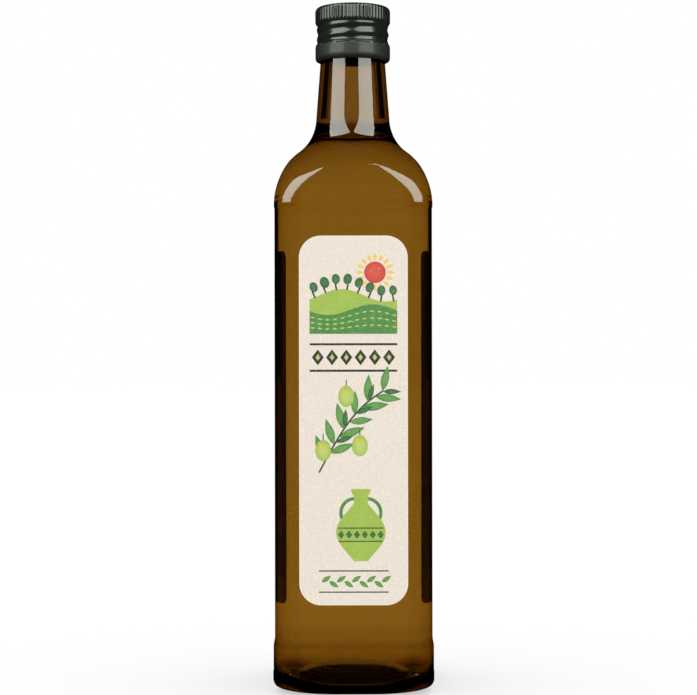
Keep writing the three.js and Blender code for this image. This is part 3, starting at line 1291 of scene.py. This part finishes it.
@dataclass
class FrontPrint:
    """A grove under the sun, a band of diamonds, an olive sprig and an oil jar."""

    page: LabelPrint
    half: float = 18.2

    def grove(self) -> None:
        """Prints the sun, the hills and the rows of trees."""
        page, half = self.page, self.half
        sun = (9.0, 61.5)
        page.row("sun_rays", disc(sun, 6.4, 6.4), diamond(1.5, 3.4), 0, Ink.YELLOW, True, count=16)
        page.field("sun", [disc(sun, 4.5, 4.5)], 1, Ink.RED, True)
        page.field("far_hill", [hill(-half, half, 40.0, 52.0, 2.6, 2.4)], 1, Ink.LIGHT)
        crest = [(u, 52.4 + 2.6 * math.sin(u * HILL_WAVE + 2.4)) for u in spread(-16.5, 16.5, 30)]
        trunks = [(u, v + 1.0) for u, v in crest]
        page.row("tree_trunks", trunks, bar(-0.35, 0.35, -1.6, 1.6), 2, Ink.COAL, count=8)
        tops = [(u, v + 4.0) for u, v in crest]
        crown = disc((0.0, 0.0), 1.9, 2.4, 20)
        page.row("tree_crowns", tops, crown, 3, Ink.DEEP, count=8, shrink=0.25, seed=5)
        page.field("near_hill", [hill(-half, half, 36.0, 46.0, 2.2, 0.2)], 4, Ink.LEAF)
        for i in range(3):
            level = 43.6 - 2.4 * i
            swell = 1.8 - 0.5 * i
            path = [(u, level + swell * math.sin(u * HILL_WAVE + 0.2)) for u in spread(-17.0, 17.0, 30)]
            page.row("furrow_%d" % (i + 1), path, diamond(2.5, 0.8), 5, Ink.LIGHT, count=12)

    def band(self) -> None:
        """Prints the band of diamonds between two rules."""
        page, half = self.page, self.half
        page.field("band_rules", [bar(-half, half, v, v + 0.9) for v in (31.2, 20.2)], 0, Ink.COAL)
        line = [(-14.8, 26.2), (14.8, 26.2)]
        page.row("band_diamonds", line, diamond(5.0, 6.6), 0, Ink.COAL, count=6)
        page.row("band_hearts", line, diamond(2.0, 2.8), 1, Ink.LIGHT, count=6)

    def sprig(self) -> None:
        """Prints the sprig with its leaves and olives."""
        page = self.page
        line = []
        for t in spread(0.0, 1.0, 24):
            line.append((lerp(-14.0, 12.0, t), -21.0 + 33.0 * t + 5.0 * math.sin(math.pi * t)))
        page.row("sprig_stem", line, bar(-0.8, 0.8, -0.35, 0.35), 1, Ink.DEEP, count=40)
        page.row(
            "sprig_leaves", line[2:], leaf(11.5, 3.6, 0.4), 2, Ink.LEAF,
            count=11, lean=0.75, swap=1.0, sway=0.12, shrink=0.2,
        )
        page.row(
            "sprig_shoots", line[6:], leaf(7.5, 2.2, 0.3), 3, Ink.DEEP,
            count=5, lean=-0.6, swap=1.0, sway=0.15, seed=8,
        )
        fruit = ((-12.6, -12.5), (2.6, -10.5), (-3.0, 10.0))
        page.field("olive_stalks", [bar(u - 0.2, u + 0.2, v + 3.5, v + 7.0) for u, v in fruit], 3, Ink.DEEP)
        page.field("olives", [disc(spot, 3.3, 4.4) for spot in fruit], 4, Ink.LIGHT, True)
        page.field("olive_lights", [disc((u - 1.0, v + 1.5), 0.7, 1.2, 16) for u, v in fruit], 5, Ink.YELLOW)

    def jar(self) -> None:
        """Prints the oil jar with its handles and belt."""
        page = self.page
        middle = 3.0
        side = []
        for t in spread(0.0, 1.0, 32):
            belly = 7.4 * math.sin(math.pi * min(t / 0.8, 1.0)) ** 1.15
            lip = 1.1 * smooth((t - 0.9) / 0.06)
            side.append((2.9 + belly + lip, -58.5 + 30.0 * t))
        right = [(middle + w, v) for w, v in side]
        left = [(middle - w, v) for w, v in side[::-1]]
        page.field("jar", [right + left], 1, Ink.LIGHT)
        grips = []
        for way in (-1, 1):
            grip = []
            for across, up, turn in ((6.4, 6.6, 1.0), (5.0, 5.2, -1.0)):
                for a in spread(-turn * math.pi / 2, turn * math.pi / 2, 16):
                    grip.append((middle + way * (2.6 + across * math.cos(a)), -38.4 + up * math.sin(a)))
            grips.append(grip)
        page.field("jar_handles", grips, 0, Ink.LEAF)
        page.row("jar_belt", [(-5.2, -47.5), (11.2, -47.5)], diamond(2.6, 3.4), 2, Ink.DEEP, count=6)
        page.field("jar_rings", [bar(-6.4, 12.4, -45.0, -44.5), bar(-6.2, 12.2, -50.5, -50.0)], 2, Ink.DEEP)

    def foot(self) -> None:
        """Prints the border of small leaves at the foot."""
        page = self.page
        page.field("foot_rules", [bar(-14.5, 14.5, v, v + 0.5) for v in (-62.8, -71.6)], 0, Ink.COAL)
        line = [(-13.0, -67.0), (12.0, -67.0)]
        page.row("foot_leaves", line, leaf(4.6, 1.9, -0.3), 0, Ink.LEAF, count=9, lean=0.6, swap=1.0)

    def build(self) -> None:
        """Prints the whole label."""
        self.grove()
        self.band()
        self.sprig()
        self.jar()
        self.foot()


@dataclass
class BackPrint:
    """A plain field in a frame, with a row of leaves above and of diamonds below."""

    page: LabelPrint

    def build(self) -> None:
        """Prints the whole label."""
        page = self.page
        page.field("frame", [bar(-17.5, 17.5, -42.0, 42.0)], 0, Ink.LEAF)
        page.field("field", [bar(-16.6, 16.6, -41.1, 41.1)], 1, Ink.LIGHT)
        line = [(14.0, 54.0), (-14.0, 54.0)]
        page.row("leaves", line, leaf(6.0, 2.3, -0.4), 0, Ink.LEAF, count=8, lean=0.6, swap=1.0)
        page.row("diamonds", [(14.0, -54.0), (-14.0, -54.0)], diamond(4.6, 5.4), 0, Ink.COAL, count=6)
        page.field("rules", [bar(-17.5, 17.5, v, v + 0.6) for v in (47.4, 60.0, -48.4, -60.6)], 0, Ink.COAL)


@dataclass
class Studio:
    """Floor, light and camera of the picture, in metres."""

    lens_px: float = 1785.0
    frame_px: float = 697.0
    distance: float = 0.775
    height: float = 0.1448
    aside: float = -0.00204
    roll: float = 0.09
    softbox: float = 7.5
    softbox_distance: float = 1.2
    tint: Triple = (0.93, 0.98, 0.9)
    walls: Point = (-0.5, 0.0)
    ceiling: Point = (0.4, 0.6)
    front: Point = (0.2, 0.6)
    front_shade: float = 0.8
    shade: float = 0.98

    def camera(self) -> None:
        """Places the camera level with the label, as in the picture."""
        data = bpy.data.cameras.new("camera")
        data.sensor_width = 36.0
        data.lens = 36.0 * self.lens_px / self.frame_px
        data.clip_start = 0.01
        camera = bpy.data.objects.new("camera", data)
        camera.location = (self.aside, -self.distance, self.height)
        camera.rotation_euler = (math.pi / 2, math.radians(self.roll), 0.0)
        bpy.context.scene.collection.objects.link(camera)
        bpy.context.scene.camera = camera

    def floor(self) -> None:
        """Lays a pale floor, lit a little from within so that it meets the pale background."""
        data = bpy.data.meshes.new("floor")
        size = 6.0
        corners = [(-size, -size, 0), (size, -size, 0), (size, size, 0), (-size, size, 0)]
        data.from_pydata(corners, [], [(0, 1, 2, 3)])
        shader = Shader("floor")
        shader.set(
            Base_Color=(0.5, 0.5, 0.5, 1.0), Roughness=0.9, Specular_IOR_Level=0.0,
            Emission_Color=(1.0, 1.0, 1.0, 1.0), Emission_Strength=0.52,
        )
        data.materials.append(shader.material)
        floor = bpy.data.objects.new("floor", data)
        floor.location = (0.0, 0.0, -0.0001)
        floor.visible_glossy = False
        bpy.context.scene.collection.objects.link(floor)

    def panel(self, name: str, azimuth: float, elevation: float, size: Point) -> None:
        """Hangs a softbox, tilted to face the bottle, that the glass and the cap mirror.

        Args:
            name: name of the lamp.
            azimuth: direction of its middle, in degrees to the right of the camera.
            elevation: height of its middle, in degrees.
            size: its width and height.
        """
        far = self.softbox_distance
        light = bpy.data.lights.new(name, "AREA")
        light.shape = "RECTANGLE"
        light.size, light.size_y = size
        light.energy = self.softbox * math.pi * size[0] * size[1]
        light.color = self.tint
        lamp = bpy.data.objects.new(name, light)
        turn = math.radians(azimuth)
        tilt = math.radians(elevation)
        out = far * math.cos(tilt)
        lamp.location = (out * math.sin(turn), -out * math.cos(turn), 0.2 + far * math.sin(tilt))
        lamp.rotation_euler = (math.pi / 2 - tilt, 0.0, turn)
        lamp.visible_camera = False
        lamp.visible_diffuse = False
        lamp.visible_transmission = False
        bpy.context.scene.collection.objects.link(lamp)

    def world(self) -> None:
        """Surrounds the bottle with white light, of which the glass shows four walls and a dark ceiling."""
        world = bpy.data.worlds.new("studio")
        world.use_nodes = True
        nodes = world.node_tree.nodes
        links = world.node_tree.links
        axes = nodes.new("ShaderNodeSeparateXYZ")
        links.new(nodes.new("ShaderNodeTexCoord").outputs["Generated"], axes.inputs[0])

        def work(operation: str, *values: object) -> Socket:
            """Adds a Math node to the world.

            Args:
                operation: what it works out.
                values: its operands, as numbers or sockets.

            Returns:
                The result.
            """
            node = nodes.new("ShaderNodeMath")
            node.operation = operation
            for socket, value in zip(node.inputs, values):
                if isinstance(value, Socket):
                    links.new(value, socket)
                else:
                    socket.default_value = value
            return node.outputs[0]

        def ease(value: Socket, low: float, high: float) -> Socket:
            """Eases a value from 0 at low to 1 at high.

            Args:
                value: what is eased.
                low: value that gives 0.
                high: value that gives 1.

            Returns:
                The eased share.
            """
            node = nodes.new("ShaderNodeMapRange")
            node.interpolation_type = "SMOOTHSTEP"
            links.new(value, node.inputs["Value"])
            node.inputs["From Min"].default_value = low
            node.inputs["From Max"].default_value = high
            return node.outputs[0]

        way = work("ARCTAN2", axes.outputs["X"], axes.outputs["Y"])
        walls = ease(work("COSINE", work("MULTIPLY", way, 4.0)), *self.walls)
        below = work("SUBTRACT", 1.0, ease(axes.outputs["Z"], *self.ceiling))
        ahead = work("MULTIPLY", axes.outputs["Y"], -1.0)
        front = work("MULTIPLY", ease(ahead, *self.front), self.front_shade)
        seen = work("MULTIPLY", work("MULTIPLY", walls, below), work("SUBTRACT", 1.0, front))
        through = nodes.new("ShaderNodeLightPath").outputs["Is Transmission Ray"]
        dim = work("MULTIPLY", through, work("SUBTRACT", 1.0, seen))
        background = nodes["Background"]
        background.inputs["Color"].default_value = (1.0, 1.0, 1.0, 1.0)
        links.new(work("SUBTRACT", 1.0, work("MULTIPLY", dim, self.shade)), background.inputs["Strength"])
        world.cycles_visibility.glossy = False
        bpy.context.scene.world = world
        bpy.context.scene.view_settings.view_transform = "Standard"

    def build(self) -> None:
        """Sets up the whole studio."""
        self.camera()
        self.floor()
        self.world()
        self.panel("softbox_left", -50.5, 36.0, (1.06, 1.24))
        self.panel("softbox_right", 43.0, 36.0, (1.08, 1.24))


def main() -> None:
    """Builds the bottle piece by piece."""
    logging.basicConfig(level=logging.INFO, format="%(name)s %(message)s")
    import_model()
    wall = SweptWall()
    Bottle(BottleShape()).build(wall)
    ScrewCap().build(wall)
    front = Label(Piece.FRONT, "front_label", 37.7, 191.3, -1)
    front.build()
    back = Label(Piece.BACK, "back_label", 31.9, 187.4, 1, 40.4, 3.0)
    back.build()
    rows = MotifRow()
    FrontPrint(LabelPrint(front, "front_", rows)).build()
    BackPrint(LabelPrint(back, "back_", rows)).build()
    Studio().build()


if __name__ == "__main__":
    main()
